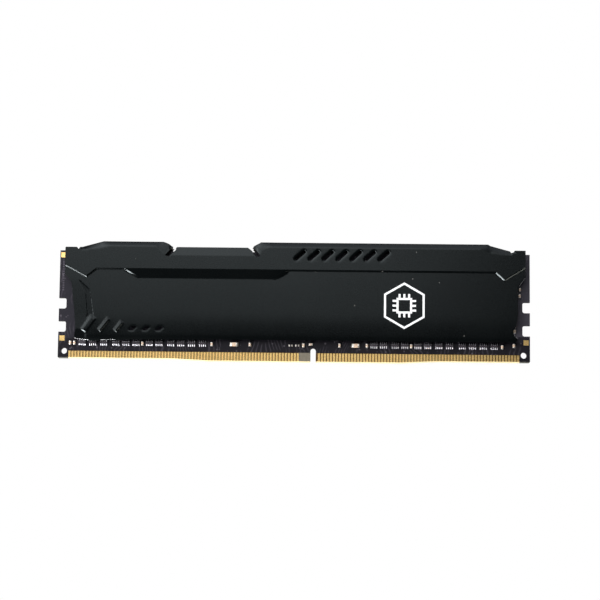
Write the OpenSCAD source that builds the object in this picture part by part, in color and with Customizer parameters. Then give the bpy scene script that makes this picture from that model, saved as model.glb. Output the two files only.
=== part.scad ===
// Desktop memory module with 288 contacts, clad in a two-shell folded aluminium heat spreader.
// Millimetres. X runs along the board, Y through its thickness with the front towards -Y, Z is up.
// The origin is on the board's middle plane, halfway along its lowest edge.
// Positions along the board are given from its left end, and heights from its lowest edge.

/* [Circuit board] */
// Length of the board
board_length = 133.35; // [133.2:0.05:133.5]
// Height of the board
board_height = 31.25; // [31.1:0.05:31.4]
// Thickness of the board
board_thickness = 1.4; // [1.3:0.1:1.5]
// Radius of the two tooling holes
tooling_hole_r = 0.85; // [0.7:0.05:0.9]
// Depth of the four side notches that the socket's latches hold
latch_notch_depth = 2.1; // [1.9:0.1:2.3]

/* [Edge contacts] */
// Distance from one contact to the next
contact_pitch = 0.85; // [0.84:0.01:0.85]
// Width of one contact
contact_width = 0.6; // [0.5:0.05:0.65]
// Contacts in the row left of the key notch
long_row_count = 77; // [70:1:77]
// Contacts in the row right of the key notch
short_row_count = 67; // [60:1:67]

/* [Memory chips] */
// Width of one memory chip
chip_width = 7.5; // [7:0.1:9]
// Height of one memory chip
chip_height = 11; // [10:0.5:12]
// Thickness of one memory chip without its solder balls
chip_thickness = 0.8; // [0.7:0.05:0.9]
// Distance from one chip to the next within a group of four
chip_pitch = 14; // [12:0.5:14]

/* [Heat spreader] */
// Thickness of the aluminium sheet
sheet = 0.8; // [0.6:0.05:0.9]
// Thickness of the tape between the chips and the front shell
tape_thickness = 0.3; // [0.2:0.05:0.5]
// How far the upper band stands in front of the main panel
band_rise = 0.7; // [0.5:0.05:0.8]
// How far the left flange lies behind the main panel
flange_drop = 0.5; // [0.3:0.05:0.6]
// Overall height of the module
module_height = 33.8; // [33.6:0.1:34.5]
// Number of louvre slots in the upper band
louvre_count = 7; // [3:1:8]

/* [Printed emblem] */
// Width of the printed lines
print_line = 0.57; // [0.4:0.05:0.8]

/* [Hidden] */
$fn = 48;

// Board outline
front_face = -board_thickness / 2;
rear_face = board_thickness / 2;
end_rise = 0.5;
lower_edge = [[0, end_rise], [32.25, end_rise], [42.45, 0], [96.85, 0], [107.05, end_rise], [board_length, end_rise]];
edge_bevel = 0.3;
corner_r = 0.5;
key_x = 72.25;
key_width = 1.5;
key_top = 4;
latch_notch_height = 3;
latch_notch_bottoms = [8, 14.6];
notch_corner_r = 0.6;
notch_overlap = 0.01;
tooling_hole_inset = 1.75;
tooling_hole_z = 2.6;

// Gold contacts and pads
first_contact_x = 3.35;
first_short_x = 73.9;
contact_top = 2.6;
gold = 0.05;
test_pad = 1.45;
test_pad_places = [[1.1, 6.2], [board_length - 1.1, 6.2], [0.98, 29.95]];

// Memory chips, their solder balls and the configuration chip
ball_height = 0.3;
ball_r = 0.22;
ball_pitch = 0.8;
ball_rows = 13;
ball_columns = [-4, -3, -2, 2, 3, 4];
chip_z = 16.5;
left_group_x = 13.5;
right_group_x = board_length - 55.5;
chip_places = [for (start = [left_group_x, right_group_x], i = [0 : 3]) start + i * chip_pitch];
configuration_x = board_length / 2;
configuration_z = 19;
configuration_size = [2, 0.75, 3];
lead_size = [0.25, 0.2, 0.25];
lead_pitch = 0.5;

// Small parts along the bottom of the board
passive_z = 4.88;
array_places = [6.9, 9.9, 13.05, 16.5, 19.3, 22.2, 25.9, 28.7, 32.05, 34.85, 37.9, 41,
    89.4, 92.1, 95.4, 98.1, 101.8, 104.6, 107.7, 110.7, 114.3, 117.2, 120.2, 123.3];
array_z = 5.04;
array_width = 2.05;
array_body_height = 0.86;
array_thickness = 0.45;
array_terminal = [0.34, 0.48];
array_terminal_pitch = 0.55;
terminal_thickness = 0.42;
small_capacitor_places = [[3.5, passive_z], [4.7, passive_z], [24, passive_z], [43.6, passive_z], [54.4, passive_z],
    [69.5, 4.8], [79.7, passive_z], [87.4, passive_z], [99.9, passive_z], [125.5, passive_z], [128.8, 5.3],
    [130.45, 21.2], [130.45, 19.4], [129.05, 10.8], [129.05, 9.4]];
level_capacitor_places = [[71.6, 5.1]];
small_part = [1.15, 0.6, 0.55];
large_capacitor_places = [[49.9, passive_z], [84.3, passive_z]];
large_part = [2.25, 1.05, 0.8];
chip_resistor_places = [[65.9, 4.75], [67.75, 4.75]];
resistor_part = [1.1, 0.5, 0.35];
decoupling_part = [1.1, 0.55, 0.55];
decoupling_z = [10, 12.5, 20.5, 23];
terminal_share = 0.25;
terminal_lip = 0.05;
// Decoupling capacitors stand in a column in the gap to the right of each chip but the fourth and the last
decoupling_columns = [for (i = [0 : 6]) if (i != 3) chip_places[i] + chip_pitch / 2];

// Depths of the heat spreader's surfaces: more negative is nearer the front
panel_y = front_face - ball_height - chip_thickness - tape_thickness - sheet;
band_y = panel_y - band_rise;
flange_y = panel_y + flange_drop;
meeting_gap = 0.025;
flange_overlap = 0.1;
flange_sink = 0.05;
spreader_left = 1.85;
spreader_right = 131.85;
side_step_z = 24.3;
tab_top = module_height - 1.9;
middle_tab_top = module_height - 1.55;

// Outline of one shell seen from the front, anticlockwise from its bottom left corner
shell_outline = [
    [4.65, 6.1], [8.2, 5.65], [9.6, 5.35], [11.4, 5.35], [12.2, 5.65], [24, 5.9], [50, 6.1], [128.8, 6.1],
    [129.5, 6.5], [129.65, 7.1], [128.55, 8.5], [128.5, 9.6], [129.2, 10.6], [129.5, 11.8], [129.8, 14],
    [129.75, 18], [129.7, 20.5], [130, 21.8],
    [spreader_right, side_step_z], [spreader_right, tab_top + 0.1],
    [128.8, tab_top + 0.1], [128.4, tab_top - 0.45], [127.9, tab_top - 0.45], [127.6, tab_top],
    [122, module_height - 0.4], [121.4, module_height],
    [57.2, module_height], [56.6, module_height - 0.35], [55.3, module_height - 1.05],
    [54.95, module_height - 1.45], [55.15, middle_tab_top - 1.35], [53.5, middle_tab_top],
    [33.5, middle_tab_top], [32.7, middle_tab_top - 0.6], [32.4, module_height - 1.6],
    [31.8, module_height - 1.25], [31.2, module_height - 0.75], [30.4, module_height - 0.4],
    [29.5, module_height - 0.1], [12.6, module_height - 0.1], [6.05, tab_top], [5.6, tab_top - 0.6],
    [5.1, tab_top], [2, tab_top], [spreader_left, tab_top - 0.2],
    [spreader_left, side_step_z], [3.75, 21.8], [3.95, 20], [4.25, 17.3], [4.65, 14.5], [5.15, 8.8]
];

// Main panel: its bevelled left side, at the panel's depth and at the flange's depth
past_end = 140;
past_top = 47;
cut_margin = 1;
panel_high = [
    [7.7, 4], [past_end, 4], [past_end, 29], [3.5, 29], [6.3, 22.3], [9.3, 19.7], [10.5, 12.2], [7.9, 7.4]
];
panel_low = [
    [6.6, 4], [past_end, 4], [past_end, 29], [3.2, 29], [6.05, 22.3], [7.9, 18.9], [8.4, 12.5], [6.8, 8.6]
];

// Upper band: its front face, and the wider outline where its sloped walls reach the flange's depth
band_top = 36;
band_high = [
    [-1, 28.6], [7.95, 23.85], [10.7, 26], [123.7, 26], [126, 23.9], [134.5, 29.1], [134.5, 33.5],
    [128.3, 33.5], [127.9, 30.6], [122, 31.1], [119.3, 32.2], [60.1, 32.3], [57.6, 31.5], [57, 29.8],
    [30.2, 29.8], [27.6, 32.2], [14.3, 32.2], [11.8, 31.5], [6.5, 31], [5.6, 33.5], [-1, 33.5]
];
band_low = [
    [-1, 27.7], [7.95, 22.95], [10.95, 25.2], [123.45, 25.2], [126, 22.85], [134.5, 28.2], [134.5, band_top],
    [128.6, band_top], [128.6, 32.4], [122.7, 33.4], [120.3, 34.3], [59, 34.5], [55.9, 33.3], [55.4, 32.8],
    [31.9, 32.8], [29.8, 34.4], [13.5, 34.3], [10.8, 33.7], [6, 32.6], [5.2, band_top], [-1, band_top]
];

// Long slope under the left half of the upper band
slope_high = [[20.1, 26], [65.4, 26], [65.4, 26.6], [20.1, 26.6]];
slope_low = [[24.6, 21.4], [59.2, 21.4], [65.4, 26.6], [20.1, 26.6]];

// Ribs pressed forward in the lower left corner, each given by its top and bottom middle points
ribs = [[[9.8, 11.6], [7.4, 7.8]], [[14.45, 11.2], [12.2, 8.05]], [[18.2, 10.3], [16.6, 8]]];
rib_rise = 0.4;
rib_half_width = 0.75;
rib_crest = 0.12;
rib_layer = 0.05;
round_sides = 16;

// Slots and pressed holes cut through the shell
left_slot = [[30, 29.75], [31.2, 29.4], [33.1, 31.4], [33.1, 33.2], [32, 32.1]];
right_slot = [[56.05, 29.4], [57.15, 29.85], [55.55, 31.75], [55, 32.2], [54.7, 31.4], [55, 30.55]];
louvre_pitch = 3.95;
louvre_bottom = [67.3, 29.1];
louvre_top = [69.5, 31.1];
louvre_r = 0.45;
pressed_hole = [[[20.45, 8.65], [21.35, 8.65]], [[21.15, 9.35], [22.05, 9.35]]];
pressed_hole_r = 0.25;
pressed_hole_count = 3;
pressed_hole_pitch = 3.8;

// Tape and pad
tape_left = 10;
tape_right = 124;
tape_bottom = 10.5;
tape_height = 12;

// Emblem
print_thickness = 0.04;
emblem_centre = [97.8, 16.15];
emblem_hexagon_r = 6.6;
emblem_square = 4.4;
emblem_leg = 1.1;
emblem_leg_pitch = 1.35;
emblem_legs = 3;

// Lowest point of the board at a distance from its left end
function edge_z(x) = lookup(x, lower_edge);

// Flat piece drawn in the plane of the board, between two depths
module slab(y_front, y_back) {
    translate([-board_length / 2, y_back, 0])
        rotate([90, 0, 0])
            linear_extrude(y_back - y_front) children();
}

// Box given by its middle in the plane of the board, its size there, and two depths
module block(middle, size, y_front, y_back) {
    translate([middle[0] - size[0] / 2 - board_length / 2, y_front, middle[1] - size[1] / 2])
        cube([size[0], y_back - y_front, size[1]]);
}

// Solid with sloped walls between two outlines that have the same number of points
module raised(low, high, y_low, y_high) {
    n = len(low);
    shift = -board_length / 2;
    points = [
        for (p = low) [p[0] + shift, y_low, p[1]],
        for (p = high) [p[0] + shift, y_high, p[1]]
    ];
    back = [[for (i = [0 : n - 1]) i]];
    front = [[for (i = [0 : n - 1]) 2 * n - 1 - i]];
    walls = [for (i = [0 : n - 1], half = [0, 1]) let (j = (i + 1) % n) half == 0 ? [i, n + i, n + j] : [i, n + j, j]];
    polyhedron(points, concat(back, front, walls));
}

// Small surface-mounted part: its body alone, or the two terminals at its ends
module part_body(middle, size, thickness, upright) {
    length = size[0] * (1 - 2 * terminal_share);
    block(middle, upright ? [size[1], length] : [length, size[1]], front_face - thickness, front_face);
}
module part_terminals(middle, size, thickness, upright) {
    length = size[0] * terminal_share;
    reach = (size[0] - length) / 2;
    for (side = [-1, 1])
        block(middle + side * (upright ? [0, reach] : [reach, 0]),
            upright ? [size[1], length] : [length, size[1]], front_face - thickness - terminal_lip, front_face);
}

// Triangular prism that bevels one stretch of the board's lower edge on one side
module edge_bevel_cut(from, to, side) {
    run = to - from;
    translate([from[0] - board_length / 2, 0, from[1]])
        rotate([0, -atan2(run[1], run[0]), 0])
            rotate([90, 0, 90])
                linear_extrude(norm(run))
                    polygon([[side * (rear_face + 1), -1], [side * (rear_face + 1), edge_bevel + 1],
                        [side * rear_face, edge_bevel], [side * (rear_face - edge_bevel), 0],
                        [side * (rear_face - edge_bevel), -1]]);
}

module latch_notch() {
    union() {
        translate([-1, 0])
            square([latch_notch_depth + 1 - notch_corner_r, latch_notch_height]);
        translate([latch_notch_depth - notch_corner_r - notch_overlap, notch_corner_r])
            square([notch_corner_r + notch_overlap, latch_notch_height - 2 * notch_corner_r]);
        for (z = [notch_corner_r, latch_notch_height - notch_corner_r])
            translate([latch_notch_depth - notch_corner_r, z])
                circle(notch_corner_r);
    }
}

module board_end_cuts() {
    for (z = latch_notch_bottoms)
        translate([0, z])
            latch_notch();
    translate([0, end_rise])
        difference() {
            translate([-1, -1])
                square(corner_r + 1);
            translate([corner_r, corner_r])
                circle(corner_r);
        }
}

module board_drawing() {
    difference() {
        polygon(concat(lower_edge, [[board_length, board_height], [0, board_height]]));
        board_end_cuts();
        translate([board_length, 0])
            mirror([1, 0])
                board_end_cuts();
        translate([key_x - key_width / 2, -1])
            square([key_width, key_top + 1 - key_width / 2]);
        translate([key_x, key_top - key_width / 2])
            circle(key_width / 2);
    }
}

module circuit_board() {
    color([0.15, 0.14, 0.17])
        difference() {
            slab(front_face, rear_face) board_drawing();
            for (x = [tooling_hole_inset, board_length - tooling_hole_inset])
                translate([x - board_length / 2, rear_face + 1, tooling_hole_z])
                    rotate([90, 0, 0])
                        cylinder(h = board_thickness + 2, r = tooling_hole_r);
            for (i = [0 : len(lower_edge) - 2], side = [-1, 1])
                edge_bevel_cut(lower_edge[i], lower_edge[i + 1], side);
        }
}

// One row of gold contacts on the front or the rear face
module contact_row(first_x, count, y) {
    color([0.89, 0.74, 0.4])
        for (i = [0 : count - 1])
            let (
                x = first_x + i * contact_pitch,
                bottom = max(edge_z(x - contact_width / 2), edge_z(x + contact_width / 2)) + edge_bevel
            )
            block([x, (contact_top + bottom) / 2], [contact_width, contact_top - bottom], y, y + gold);
}
module front_contacts_long() { contact_row(first_contact_x, long_row_count, front_face - gold); }
module front_contacts_short() { contact_row(first_short_x, short_row_count, front_face - gold); }
module rear_contacts_long() { contact_row(first_contact_x, long_row_count, rear_face); }
module rear_contacts_short() { contact_row(first_short_x, short_row_count, rear_face); }

module corner_test_pads() {
    color([0.86, 0.68, 0.32])
        for (place = test_pad_places)
            block(place, [test_pad, test_pad], front_face - gold, front_face);
}

module memory_chip(number) {
    color([0.11, 0.11, 0.12])
        block([chip_places[number - 1], chip_z], [chip_width, chip_height],
            front_face - ball_height - chip_thickness, front_face - ball_height);
}

module solder_balls() {
    color([0.75, 0.76, 0.78])
        for (x = chip_places, column = ball_columns, row = [0 : ball_rows - 1])
            translate([x + column * ball_pitch - board_length / 2, front_face,
                chip_z + (row - (ball_rows - 1) / 2) * ball_pitch])
                rotate([90, 0, 0])
                    cylinder(h = ball_height, r = ball_r, $fn = 16);
}

module configuration_chip() {
    color([0.12, 0.12, 0.13])
        block([configuration_x, configuration_z], [configuration_size[0], configuration_size[2]],
            front_face - configuration_size[1], front_face);
}
module configuration_chip_leads() {
    color([0.78, 0.78, 0.8])
        for (side = [-1, 1], row = [-1.5 : 1 : 1.5])
            block([configuration_x + side * (configuration_size[0] + lead_size[0]) / 2,
                configuration_z + row * lead_pitch], [lead_size[0], lead_size[2]],
                front_face - lead_size[1], front_face);
}

module resistor_array_bodies() {
    color([0.2, 0.18, 0.2])
        for (x = array_places)
            block([x, array_z], [array_width, array_body_height], front_face - array_thickness, front_face);
}
module resistor_array_terminals() {
    color([0.85, 0.84, 0.86])
        for (x = array_places, side = [-1, 1], i = [-1.5 : 1 : 1.5])
            block([x + i * array_terminal_pitch, array_z + side * (array_body_height + array_terminal[1]) / 2],
                array_terminal, front_face - terminal_thickness, front_face);
}

module chip_resistor_bodies() {
    color([0.14, 0.13, 0.15])
        for (place = chip_resistor_places)
            part_body(place, [resistor_part[0], resistor_part[1]], resistor_part[2], false);
}
module chip_resistor_terminals() {
    color([0.85, 0.84, 0.86])
        for (place = chip_resistor_places)
            part_terminals(place, [resistor_part[0], resistor_part[1]], resistor_part[2], false);
}

module small_capacitor_bodies() {
    color([0.75, 0.62, 0.5]) {
        for (place = small_capacitor_places)
            part_body(place, [small_part[0], small_part[1]], small_part[2], true);
        for (place = level_capacitor_places)
            part_body(place, [small_part[0], small_part[1]], small_part[2], false);
    }
}
module small_capacitor_terminals() {
    color([0.88, 0.86, 0.85]) {
        for (place = small_capacitor_places)
            part_terminals(place, [small_part[0], small_part[1]], small_part[2], true);
        for (place = level_capacitor_places)
            part_terminals(place, [small_part[0], small_part[1]], small_part[2], false);
    }
}

module large_capacitor_bodies() {
    color([0.75, 0.62, 0.48])
        for (place = large_capacitor_places)
            part_body(place, [large_part[0], large_part[1]], large_part[2], false);
}
module large_capacitor_terminals() {
    color([0.88, 0.86, 0.85])
        for (place = large_capacitor_places)
            part_terminals(place, [large_part[0], large_part[1]], large_part[2], false);
}

module decoupling_capacitor_bodies() {
    color([0.72, 0.58, 0.44])
        for (x = decoupling_columns, z = decoupling_z)
            part_body([x, z], [decoupling_part[0], decoupling_part[1]], decoupling_part[2], true);
}
module decoupling_capacitor_terminals() {
    color([0.85, 0.84, 0.83])
        for (x = decoupling_columns, z = decoupling_z)
            part_terminals([x, z], [decoupling_part[0], decoupling_part[1]], decoupling_part[2], true);
}

module front_thermal_tape() {
    color([0.55, 0.56, 0.6])
        block([(tape_left + tape_right) / 2, tape_bottom + tape_height / 2], [tape_right - tape_left, tape_height],
            panel_y + sheet, panel_y + sheet + tape_thickness);
}
module rear_thermal_pad() {
    color([0.6, 0.62, 0.68])
        block([(tape_left + tape_right) / 2, tape_bottom + tape_height / 2], [tape_right - tape_left, tape_height],
            rear_face, -panel_y - sheet);
}

// Everything in front of the shell's surface at a given shift towards the back
module shell_mass(shift) {
    translate([0, shift, 0]) {
        slab(flange_y, 0) square([past_end, past_top]);
        raised(panel_low, panel_high, flange_y, panel_y);
        raised(band_low, band_high, flange_y, band_y);
        raised(slope_low, slope_high, flange_y, band_y);
        for (rib = ribs)
            pressed_rib(rib[0], rib[1]);
    }
}

module pressed_rib(top, bottom) {
    hull() {
        rib_ring(top, bottom, rib_half_width, flange_y);
        rib_ring(top, bottom, rib_crest, panel_y - rib_rise);
    }
}

// Thin round-ended bar along a rib, at one depth
module rib_ring(top, bottom, radius, y) {
    slab(y, y + rib_layer)
        for (end = [top, bottom])
            translate(end)
                circle(radius, $fn = round_sides);
}

// Flange folded back along the top of a hump, from the shell to the middle plane
module folded_flange(line) {
    slab(flange_y - flange_overlap, -meeting_gap)
        translate([0, -flange_sink])
            polygon(concat(line, [for (i = [len(line) - 1 : -1 : 0]) line[i] - [0, sheet]]));
}

// Opening with round corners between the given points
module rounded_opening(corners, radius) {
    hull()
        for (corner = corners)
            translate(corner)
                circle(radius, $fn = round_sides);
}

module shell_cuts() {
    slab(band_y - cut_margin, cut_margin) {
        polygon(left_slot);
        polygon(right_slot);
        for (i = [0 : louvre_count - 1])
            translate([i * louvre_pitch, 0])
                rounded_opening([louvre_bottom, louvre_top], louvre_r);
        for (i = [0 : pressed_hole_count - 1])
            translate([i * pressed_hole_pitch, 0])
                rounded_opening(concat(pressed_hole[0], pressed_hole[1]), pressed_hole_r);
    }
}

module heat_spreader() {
    difference() {
        union() {
            intersection() {
                slab(band_y - cut_margin, cut_margin) polygon(shell_outline);
                difference() {
                    shell_mass(0);
                    shell_mass(sheet);
                }
            }
            folded_flange([[7.4, tab_top + 0.37], [12.6, module_height - 0.1], [29.5, module_height - 0.1],
                [30.4, module_height - 0.4], [31.2, module_height - 0.75], [31.7, module_height - 1.2]]);
            folded_flange([[55.7, module_height - 0.86], [56.6, module_height - 0.35], [57.2, module_height],
                [121.4, module_height], [122, module_height - 0.4], [126.3, tab_top + 0.35]]);
        }
        shell_cuts();
    }
}
module front_heat_spreader() { color([0.14, 0.15, 0.16]) heat_spreader(); }
module rear_heat_spreader() { color([0.14, 0.15, 0.16]) mirror([0, 1, 0]) heat_spreader(); }

// Outlined hexagon round a small chip with legs, in white ink
module printed_emblem() {
    color([0.92, 0.93, 0.93])
        slab(panel_y - print_thickness, panel_y)
            translate(emblem_centre) {
                difference() {
                    rotate(90) circle(emblem_hexagon_r, $fn = 6);
                    rotate(90) circle(emblem_hexagon_r - print_line / cos(30), $fn = 6);
                }
                difference() {
                    square(emblem_square, center = true);
                    square(emblem_square - 2 * print_line, center = true);
                }
                for (turn = [0 : 90 : 270], i = [0 : emblem_legs - 1])
                    rotate(turn)
                        translate([emblem_square / 2, (i - (emblem_legs - 1) / 2) * emblem_leg_pitch - print_line / 2])
                            square([emblem_leg, print_line]);
            }
}

circuit_board();
front_contacts_long();
front_contacts_short();
rear_contacts_long();
rear_contacts_short();
corner_test_pads();
memory_chip(1);  // memory_chip_1
memory_chip(2);  // memory_chip_2
memory_chip(3);  // memory_chip_3
memory_chip(4);  // memory_chip_4
memory_chip(5);  // memory_chip_5
memory_chip(6);  // memory_chip_6
memory_chip(7);  // memory_chip_7
memory_chip(8);  // memory_chip_8
solder_balls();
configuration_chip();
configuration_chip_leads();
resistor_array_bodies();
resistor_array_terminals();
chip_resistor_bodies();
chip_resistor_terminals();
small_capacitor_bodies();
small_capacitor_terminals();
large_capacitor_bodies();
large_capacitor_terminals();
decoupling_capacitor_bodies();
decoupling_capacitor_terminals();
front_thermal_tape();
rear_thermal_pad();
front_heat_spreader();
rear_heat_spreader();
printed_emblem();
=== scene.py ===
"""Looks for the memory module: stamped heat spreader shells, soldered parts, materials, light and camera.

Lengths in this script are millimetres, and become metres where a mesh is made. Positions along the
board are given from its left end, heights from its lowest edge, and depths run from front to back.
Only the lights and the floor are placed in metres.
"""
import math

import bmesh
import bpy
import numpy as np
from mathutils import Matrix, Vector, geometry


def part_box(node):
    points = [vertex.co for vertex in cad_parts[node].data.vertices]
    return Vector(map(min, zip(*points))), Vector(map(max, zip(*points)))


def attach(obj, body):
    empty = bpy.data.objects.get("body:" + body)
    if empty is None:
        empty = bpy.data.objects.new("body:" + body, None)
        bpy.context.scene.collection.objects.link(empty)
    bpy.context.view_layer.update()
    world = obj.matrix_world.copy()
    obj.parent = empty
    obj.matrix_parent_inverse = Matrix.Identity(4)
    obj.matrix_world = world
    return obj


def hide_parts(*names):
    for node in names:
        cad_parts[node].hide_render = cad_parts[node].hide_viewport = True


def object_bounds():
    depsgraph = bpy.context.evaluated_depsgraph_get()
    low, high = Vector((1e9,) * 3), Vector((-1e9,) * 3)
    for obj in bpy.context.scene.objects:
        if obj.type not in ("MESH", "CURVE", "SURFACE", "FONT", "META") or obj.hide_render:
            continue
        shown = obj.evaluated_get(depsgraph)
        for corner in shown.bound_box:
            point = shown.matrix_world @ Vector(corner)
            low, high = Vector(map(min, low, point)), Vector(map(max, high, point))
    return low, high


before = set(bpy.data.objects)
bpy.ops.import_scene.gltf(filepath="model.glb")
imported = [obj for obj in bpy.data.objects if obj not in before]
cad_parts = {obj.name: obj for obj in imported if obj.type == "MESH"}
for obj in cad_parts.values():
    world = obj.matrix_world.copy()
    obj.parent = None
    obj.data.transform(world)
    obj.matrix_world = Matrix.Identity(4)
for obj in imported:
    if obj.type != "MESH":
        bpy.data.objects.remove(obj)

MM = 0.001
cad_low, cad_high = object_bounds()

# ---------------------------------------------------------------- sizes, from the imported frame
board_low, board_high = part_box("circuit_board")
shell_low, shell_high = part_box("front_heat_spreader")
tape_low, tape_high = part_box("front_thermal_tape")
ink_low, ink_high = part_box("printed_emblem")
BOARD_LENGTH = (board_high.x - board_low.x) / MM
BOARD_MIDDLE = BOARD_LENGTH / 2
BOARD_HALF = board_high.y / MM
TOP = shell_high.z / MM
BAND_Y = shell_low.y / MM
PANEL_Y = ink_high.y / MM
SHEET = tape_low.y / MM - PANEL_Y
# Heights of the shell's surface are measured forward from the depth that the CAD gives its left flange
PANEL_LEVEL = 0.5
FLANGE_Y = PANEL_Y + PANEL_LEVEL
BAND_LEVEL = FLANGE_Y - BAND_Y
BAND_RISE = BAND_LEVEL - PANEL_LEVEL
MEETING_GAP = 0.025

# ---------------------------------------------------------------- camera
TARGET = Vector((1.836, 0.0, 17.64)) * MM
CAMERA_DISTANCE = 448.5 * MM
CAMERA_AZIMUTH = math.radians(0.914)
CAMERA_ELEVATION = math.radians(-6.18)
CAMERA_ROLL = math.radians(0.684)
LENS = 94.85
SENSOR = 36.0
HALF_PIXEL = 0.5 / 600    # share of the picture's width


def make_camera():
    """Camera slightly below the module's middle, turned a little about its own line of sight."""
    data = bpy.data.cameras.new("camera")
    data.lens = LENS
    data.sensor_width = SENSOR
    data.clip_start = 0.01
    data.clip_end = 20.0
    data.shift_x = -HALF_PIXEL
    data.shift_y = HALF_PIXEL
    camera = bpy.data.objects.new("camera", data)
    bpy.context.scene.collection.objects.link(camera)
    back = Vector((
        math.sin(CAMERA_AZIMUTH) * math.cos(CAMERA_ELEVATION),
        -math.cos(CAMERA_AZIMUTH) * math.cos(CAMERA_ELEVATION),
        math.sin(CAMERA_ELEVATION),
    ))
    right = (-back).cross(Vector((0, 0, 1))).normalized()
    up = right.cross(-back)
    turned_right = right * math.cos(CAMERA_ROLL) + up * math.sin(CAMERA_ROLL)
    turned_up = up * math.cos(CAMERA_ROLL) - right * math.sin(CAMERA_ROLL)
    turn = Matrix((turned_right, turned_up, back)).transposed().to_4x4()
    camera.matrix_world = Matrix.Translation(TARGET + back * CAMERA_DISTANCE) @ turn
    bpy.context.scene.camera = camera


# ---------------------------------------------------------------- materials
class Nodes:
    """A material's node tree, with short calls for the nodes that repeat."""

    def __init__(self, name):
        self.material = bpy.data.materials.new(name)
        self.material.use_nodes = True
        self.tree = self.material.node_tree
        self.tree.nodes.clear()
        self.output = self.add("ShaderNodeOutputMaterial")
        self.shader = self.add("ShaderNodeBsdfPrincipled")
        self.link(self.shader.outputs["BSDF"], self.output.inputs["Surface"])
        self.position = self.add("ShaderNodeTexCoord").outputs["Object"]

    def add(self, kind, **values):
        node = self.tree.nodes.new(kind)
        for key, value in values.items():
            setattr(node, key, value)
        return node

    def link(self, source, target):
        self.tree.links.new(source, target)

    def feed(self, socket, value):
        if isinstance(value, bpy.types.NodeSocket):
            self.link(value, socket)
        else:
            socket.default_value = value

    def set(self, **values):
        for key, value in values.items():
            self.feed(self.shader.inputs[key.replace("_", " ")], value)

    def noise(self, scale, detail=3.0, roughness=0.5, stretch=(1, 1, 1)):
        vector = self.position
        if stretch != (1, 1, 1):
            mapping = self.add("ShaderNodeMapping")
            mapping.inputs["Scale"].default_value = stretch
            self.link(vector, mapping.inputs["Vector"])
            vector = mapping.outputs["Vector"]
        node = self.add("ShaderNodeTexNoise")
        self.link(vector, node.inputs["Vector"])
        node.inputs["Scale"].default_value = scale
        node.inputs["Detail"].default_value = detail
        node.inputs["Roughness"].default_value = roughness
        return node.outputs["Fac"]

    def cells(self, scale):
        """Distance to the nearest of many scattered points."""
        node = self.add("ShaderNodeTexVoronoi")
        self.link(self.position, node.inputs["Vector"])
        node.inputs["Scale"].default_value = scale
        return node.outputs["Distance"]

    def math(self, operation, a, b=0.0):
        node = self.add("ShaderNodeMath", operation=operation)
        for socket, value in zip(node.inputs, (a, b)):
            self.feed(socket, value)
        return node.outputs[0]

    def spread(self, noise, low, high):
        """Maps a noise, which mostly stays between 0.3 and 0.7, onto a range."""
        return self.remap(noise, 0.3, 0.7, low, high)

    def both(self, a, b):
        return self.math("MULTIPLY", a, b)

    def past(self, place, limit):
        """Whether a place lies past a limit, which is given in millimetres."""
        return self.math("GREATER_THAN", place, limit * MM)

    def before(self, place, limit):
        """Whether a place lies before a limit, which is given in millimetres."""
        return self.math("LESS_THAN", place, limit * MM)

    def between(self, place, limits):
        return self.both(self.past(place, limits[0]), self.before(place, limits[1]))

    def remap(self, value, low, high, to_low=0.0, to_high=1.0):
        node = self.add("ShaderNodeMapRange")
        for socket, number in zip(node.inputs, (value, low, high, to_low, to_high)):
            self.feed(socket, number)
        return node.outputs[0]

    def blend(self, share, a, b):
        node = self.add("ShaderNodeMix", data_type="RGBA")
        self.feed(node.inputs["Factor"], share)
        self.feed(node.inputs["A"], rgba(a))
        self.feed(node.inputs["B"], rgba(b))
        return node.outputs["Result"]

    def axis(self, name):
        node = self.add("ShaderNodeSeparateXYZ")
        self.link(self.position, node.inputs[0])
        return node.outputs[name]

    def facing(self, name):
        node = self.add("ShaderNodeSeparateXYZ")
        self.link(self.add("ShaderNodeNewGeometry").outputs["True Normal"], node.inputs[0])
        return self.math("ABSOLUTE", node.outputs[name])

    def bump(self, height, strength, distance):
        """Fine relief; the distance is given in millimetres."""
        node = self.add("ShaderNodeBump")
        node.inputs["Strength"].default_value = strength
        node.inputs["Distance"].default_value = distance * MM
        self.link(height, node.inputs["Height"])
        self.link(node.outputs["Normal"], self.shader.inputs["Normal"])


def rgba(colour):
    """Colour with its alpha added; the output of a node is passed on as it is."""
    return (*colour, 1.0) if isinstance(colour, tuple) and len(colour) == 3 else colour


def black_paint():
    """Satin black paint over stamped sheet: fine grain, faint patches of gloss and a few specks of dust."""
    n = Nodes("black_paint")
    patches = n.noise(60, 4.0)
    grain = n.noise(5200, 2.0, 0.6)
    paint = n.blend(patches, (0.0004, 0.0007, 0.0008), (0.0007, 0.0011, 0.0012))
    specks = n.cells(330)
    near = n.math("LESS_THAN", specks, 0.055)
    rare = n.math("GREATER_THAN", n.noise(210, 0.0), 0.665)
    dust = n.math("MULTIPLY", n.both(near, rare), 0.35)
    n.set(Base_Color=n.blend(dust, paint, (0.32, 0.31, 0.29)))
    rough = n.math("ADD", n.spread(patches, 0.25, 0.29), n.spread(grain, -0.02, 0.02))
    n.set(Roughness=rough, Specular_IOR_Level=0.215, Specular_Tint=rgba((0.86, 0.97, 1.0)))
    n.bump(grain, 0.12, 0.03)
    return n.material


def bare_aluminium():
    """Freshly sheared edge of the sheet: bright metal with fine shear marks across its thickness."""
    n = Nodes("bare_aluminium")
    marks = n.noise(1400, 3.0, 0.6, (1.0, 0.12, 1.0))
    n.set(Base_Color=n.blend(marks, (0.4, 0.4, 0.41), (0.56, 0.56, 0.57)))
    n.set(Metallic=1.0, Roughness=n.spread(marks, 0.45, 0.65))
    n.bump(marks, 0.1, 0.05)
    return n.material


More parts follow.
